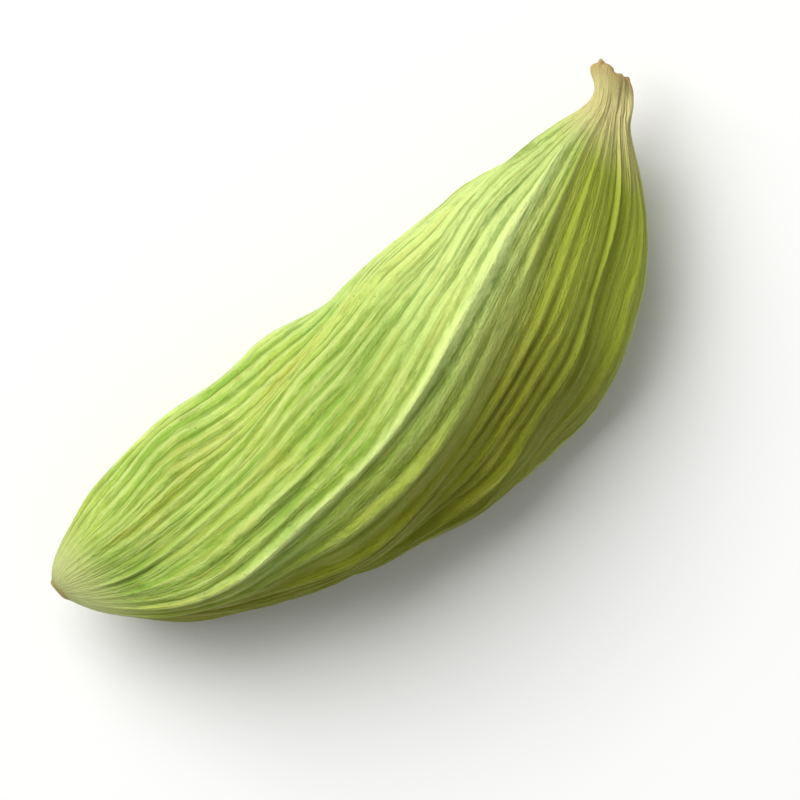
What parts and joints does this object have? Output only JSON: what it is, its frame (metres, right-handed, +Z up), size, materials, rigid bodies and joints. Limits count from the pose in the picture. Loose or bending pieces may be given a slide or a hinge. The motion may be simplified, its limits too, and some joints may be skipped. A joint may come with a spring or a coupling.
{
  "type": "green cardamom pod",
  "caption": "Dried green cardamom pod, whole and unsplit: a ribbed three-sided spindle, bowed to one side, with a blunt apex and the short stub of its stalk.",
  "frame": {"origin": "on the surface under the pod, at the middle of its length and of its width", "axes": "+X along the pod to the stub of its stalk, +Z up from the flat that it rests on, +Y towards the hollow side of its bow"},
  "size_m": [0.0198, 0.0072, 0.0063],
  "materials": {
    "cardamom_husk": "dry fibrous husk, matte with a faint waxy sheen on its ribs"
  },
  "bodies": {
    "root": {"cardamom_pod": "cardamom_husk"}
  },
  "joints": []
}
